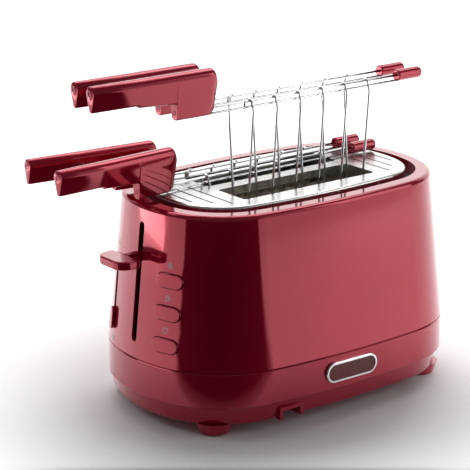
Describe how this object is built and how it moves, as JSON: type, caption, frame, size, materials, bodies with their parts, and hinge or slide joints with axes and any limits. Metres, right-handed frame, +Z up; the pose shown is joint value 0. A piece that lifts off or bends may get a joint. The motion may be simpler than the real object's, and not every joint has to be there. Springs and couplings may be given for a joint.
{
  "type": "pop up toaster",
  "caption": "Long-slot pop-up toaster with rounded tapered body, side lever, push buttons, browning slider, crumb tray and lift-out sandwich tongs.",
  "frame": {"origin": "middle of the box round the whole toaster with its lever and tongs, on the plane its feet stand on", "axes": "+X along the body away from the lever end, +Y across the body away from the badge, +Z up"},
  "size_m": [0.3462, 0.1844, 0.2775],
  "materials": {
    "red_gloss": "high gloss moulded plastic",
    "brushed_plate": "brushed",
    "sheet_steel": "galvanised sheet",
    "chrome_wire": "polished",
    "rack_wire": "plated wire",
    "badge_chrome": "polished",
    "badge_blank": "satin",
    "rubber": "matt",
    "mica": "mica sheet",
    "ribbon": "oxidised resistance ribbon",
    "screw_steel": "zinc plated",
    "board_green": "solder mask",
    "black_plastic": "moulded",
    "white_plastic": "moulded",
    "copper_coil": "enamelled copper"
  },
  "bodies": {
    "body": {"badge_inset": "badge_blank", "badge_ring": "badge_chrome", "base_plate": "red_gloss", "browning_potentiometer": "black_plastic", "button_switches": "black_plastic", "chassis_screws": "screw_steel", "control_board": "board_green", "cord_gland": "rubber", "foot_pads": "rubber", "front_inner_heater_board": "mica", "front_outer_heater_board": "mica", "front_reflector": "sheet_steel", "guard_grids": "rack_wire", "guide_rod": "rack_wire", "heater_ribbons": "ribbon", "left_end_frame": "sheet_steel", "lower_band": "red_gloss", "magnet_coil": "copper_coil", "magnet_core": "sheet_steel", "power_switch": "black_plastic", "rear_inner_heater_board": "mica", "rear_outer_heater_board": "mica", "rear_reflector": "sheet_steel", "relay_and_capacitors": "black_plastic", "return_spring": "rack_wire", "right_end_frame": "sheet_steel", "rod_bracket": "sheet_steel", "terminal_block": "white_plastic", "top_plate": "brushed_plate", "tray_rails": "sheet_steel", "upper_shell": "red_gloss"},
    "lever_carriage": {"lever_knob": "red_gloss", "lever_slider": "sheet_steel", "slider_bush": "white_plastic", "armature_plate": "sheet_steel", "front_bread_rack": "rack_wire", "rear_bread_rack": "rack_wire"},
    "defrost_button": {"defrost_button": "red_gloss"},
    "reheat_button": {"reheat_button": "red_gloss"},
    "cancel_button": {"cancel_button": "red_gloss"},
    "browning_control": {"browning_knob": "red_gloss"},
    "crumb_tray": {"crumb_tray": "sheet_steel", "crumb_tray_front": "red_gloss"},
    "front_tong": {"front_cage_rails": "chrome_wire", "front_cage_hoops": "chrome_wire", "front_tong_caps": "red_gloss"},
    "front_near_grip": {"front_near_grip": "red_gloss", "front_near_grip_wires": "chrome_wire"},
    "front_far_grip": {"front_far_grip": "red_gloss", "front_far_grip_wires": "chrome_wire"},
    "rear_tong": {"rear_cage_rails": "chrome_wire", "rear_cage_hoops": "chrome_wire", "rear_tong_caps": "red_gloss"},
    "rear_near_grip": {"rear_near_grip": "red_gloss", "rear_near_grip_wires": "chrome_wire"},
    "rear_far_grip": {"rear_far_grip": "red_gloss", "rear_far_grip_wires": "chrome_wire"}
  },
  "joints": [
    {"name": "lever_slide", "type": "slide", "parent": "body", "child": "lever_carriage", "axis": [0, 0, 1], "range_m": [-0.062, 0.02], "stiffness_N_per_m": 150, "deforming": ["return_spring"]},
    {"name": "defrost_press", "type": "slide", "parent": "body", "child": "defrost_button", "axis": [1, 0, 0], "range_m": [0, 0.0025], "stiffness_N_per_m": 600, "springref_m": -0.001},
    {"name": "reheat_press", "type": "slide", "parent": "body", "child": "reheat_button", "axis": [1, 0, 0], "range_m": [0, 0.0025], "stiffness_N_per_m": 600, "springref_m": -0.001},
    {"name": "cancel_press", "type": "slide", "parent": "body", "child": "cancel_button", "axis": [1, 0, 0], "range_m": [0, 0.0025], "stiffness_N_per_m": 600, "springref_m": -0.001},
    {"name": "browning_slide", "type": "slide", "parent": "body", "child": "browning_control", "axis": [0.1064, 0, 0.9943], "range_m": [0, 0.044]},
    {"name": "crumb_tray_slide", "type": "slide", "parent": "body", "child": "crumb_tray", "axis": [1, 0, 0], "range_m": [0, 0.15]},
    {"name": "front_tong_lift", "type": "slide", "parent": "body", "child": "front_tong", "axis": [0, 0, 1], "range_m": [-0.068, 0.045]},
    {"name": "front_near_squeeze", "type": "hinge", "parent": "front_tong", "child": "front_near_grip", "pos_m": [-0.02912, -0.03255, 0.2449], "axis": [0, 0, 1], "range_deg": [0, 1.5], "stiffness_Nm_per_rad": 0.6},
    {"name": "front_far_squeeze", "type": "hinge", "parent": "front_tong", "child": "front_far_grip", "pos_m": [-0.02912, -0.01205, 0.2449], "axis": [0, 0, 1], "range_deg": [-1.5, 0], "stiffness_Nm_per_rad": 0.6},
    {"name": "rear_tong_lift", "type": "slide", "parent": "body", "child": "rear_tong", "axis": [0, 0, 1], "range_m": [0, 0.113]},
    {"name": "rear_near_squeeze", "type": "hinge", "parent": "rear_tong", "child": "rear_near_grip", "pos_m": [-0.03512, 0.01395, 0.1769], "axis": [0, 0, 1], "range_deg": [-4.5, 0], "stiffness_Nm_per_rad": 0.6},
    {"name": "rear_far_squeeze", "type": "hinge", "parent": "rear_tong", "child": "rear_far_grip", "pos_m": [-0.03512, 0.03445, 0.1769], "axis": [0, 0, 1], "range_deg": [0, 4.5], "stiffness_Nm_per_rad": 0.6}
  ],
  "couplings": [
    {"joint": "front_far_squeeze", "follows": "front_near_squeeze", "ratio": -1},
    {"joint": "rear_far_squeeze", "follows": "rear_near_squeeze", "ratio": -1}
  ]
}
